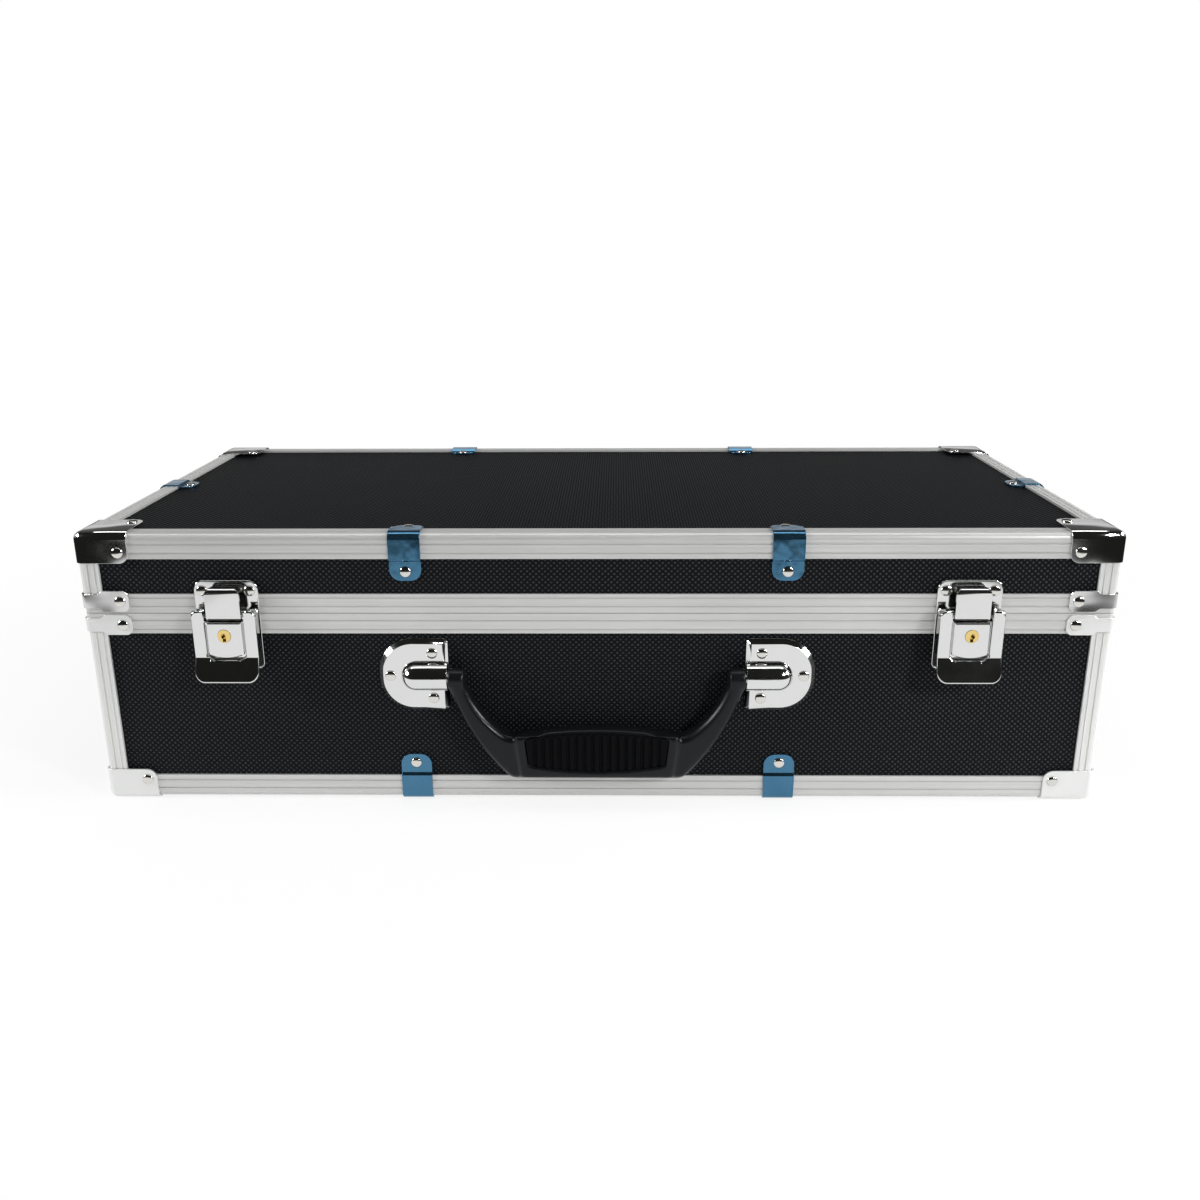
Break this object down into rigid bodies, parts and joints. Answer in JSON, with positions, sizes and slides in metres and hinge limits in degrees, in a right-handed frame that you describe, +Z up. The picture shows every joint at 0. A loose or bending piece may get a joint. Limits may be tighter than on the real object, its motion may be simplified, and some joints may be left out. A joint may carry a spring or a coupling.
{
  "type": "carrying case",
  "caption": "Rectangular hard carrying case of black boards in ribbed metal edging, with a hinged lid, keyed draw latches and a folding handle.",
  "frame": {"origin": "under the middle of the whole case, on the surface it stands on", "axes": "+X to the right along the length, the latches and handle face -Y, +Z up"},
  "size_m": [0.502, 0.2515, 0.1414],
  "materials": {
    "board": "fine raised dot texture, satin black",
    "trim": "brushed, ribbed extrusion",
    "bright_metal": "polished plating",
    "rivet": "polished domed heads",
    "film_metal": "bright sheet under a thin blue film",
    "handle": "satin black moulding",
    "grip": "matt ribbed pad",
    "lock": "polished",
    "lining": "short flock cloth",
    "hinge_metal": "plated, satin"
  },
  "bodies": {
    "base": {"base_front_panel": "board", "base_back_panel": "board", "base_left_panel": "board", "base_right_panel": "board", "base_bottom_panel": "board", "base_rim_front": "trim", "base_rim_back": "trim", "base_rim_left": "trim", "base_rim_right": "trim", "base_bottom_edge_front": "trim", "base_bottom_edge_back": "trim", "base_bottom_edge_left": "trim", "base_bottom_edge_right": "trim", "base_corner_posts": "trim", "base_bottom_corners": "bright_metal", "base_rim_corners": "bright_metal", "base_edge_clips": "film_metal", "base_rivets": "rivet", "base_lining": "lining", "hinge_base_leaves": "hinge_metal", "hinge_pins": "hinge_metal", "handle_brackets": "bright_metal", "handle_pins": "hinge_metal", "latch_base_plates": "bright_metal", "latch_lever_pins": "hinge_metal"},
    "lid": {"lid_front_panel": "board", "lid_back_panel": "board", "lid_left_panel": "board", "lid_right_panel": "board", "lid_top_panel": "board", "lid_top_edge_front": "trim", "lid_top_edge_back": "trim", "lid_top_edge_left": "trim", "lid_top_edge_right": "trim", "lid_rim_front": "trim", "lid_rim_back": "trim", "lid_rim_left": "trim", "lid_rim_right": "trim", "lid_corner_posts": "trim", "lid_top_corners": "bright_metal", "lid_rim_corners": "bright_metal", "lid_edge_clips": "film_metal", "lid_rivets": "rivet", "lid_lining": "lining", "hinge_lid_leaves": "hinge_metal", "latch_keepers": "bright_metal"},
    "handle": {"handle_bow": "handle", "handle_grip_pad": "grip"},
    "lever_left": {"latch_lever_left": "bright_metal", "latch_lock_case_left": "bright_metal", "latch_hasp_pin_left": "hinge_metal"},
    "hasp_left": {"latch_hasp_left": "bright_metal"},
    "plug_left": {"lock_plug_left": "lock"},
    "lever_right": {"latch_lever_right": "bright_metal", "latch_lock_case_right": "bright_metal", "latch_hasp_pin_right": "hinge_metal"},
    "hasp_right": {"latch_hasp_right": "bright_metal"},
    "plug_right": {"lock_plug_right": "lock"}
  },
  "joints": [
    {"name": "lid_hinge", "type": "hinge", "parent": "base", "child": "lid", "pos_m": [0, 0.12315, 0.09975], "axis": [-1, 0, 0], "range_deg": [0, 100]},
    {"name": "handle_swing", "type": "hinge", "parent": "base", "child": "handle", "pos_m": [0, -0.11815, 0.068], "axis": [-1, 0, 0], "range_deg": [0, 165]},
    {"name": "latch_lever_left", "type": "hinge", "parent": "base", "child": "lever_left", "pos_m": [-0.1784, -0.11855, 0.1024], "axis": [-1, 0, 0], "range_deg": [0, 80]},
    {"name": "latch_hasp_left", "type": "hinge", "parent": "lever_left", "child": "hasp_left", "pos_m": [-0.1784, -0.11855, 0.1], "axis": [-1, 0, 0], "range_deg": [-88, 0]},
    {"name": "lock_plug_left", "type": "hinge", "parent": "lever_left", "child": "plug_left", "pos_m": [-0.1784, -0.11855, 0.0912], "axis": [0, -1, 0], "range_deg": [0, 90]},
    {"name": "latch_lever_right", "type": "hinge", "parent": "base", "child": "lever_right", "pos_m": [0.1784, -0.11855, 0.1024], "axis": [-1, 0, 0], "range_deg": [0, 80]},
    {"name": "latch_hasp_right", "type": "hinge", "parent": "lever_right", "child": "hasp_right", "pos_m": [0.1784, -0.11855, 0.1], "axis": [-1, 0, 0], "range_deg": [-88, 0]},
    {"name": "lock_plug_right", "type": "hinge", "parent": "lever_right", "child": "plug_right", "pos_m": [0.1784, -0.11855, 0.0912], "axis": [0, -1, 0], "range_deg": [0, 90]}
  ],
  "couplings": [
    {"joint": "latch_hasp_left", "follows": "latch_lever_left", "ratio": -1.1},
    {"joint": "latch_hasp_right", "follows": "latch_lever_right", "ratio": -1.1}
  ]
}
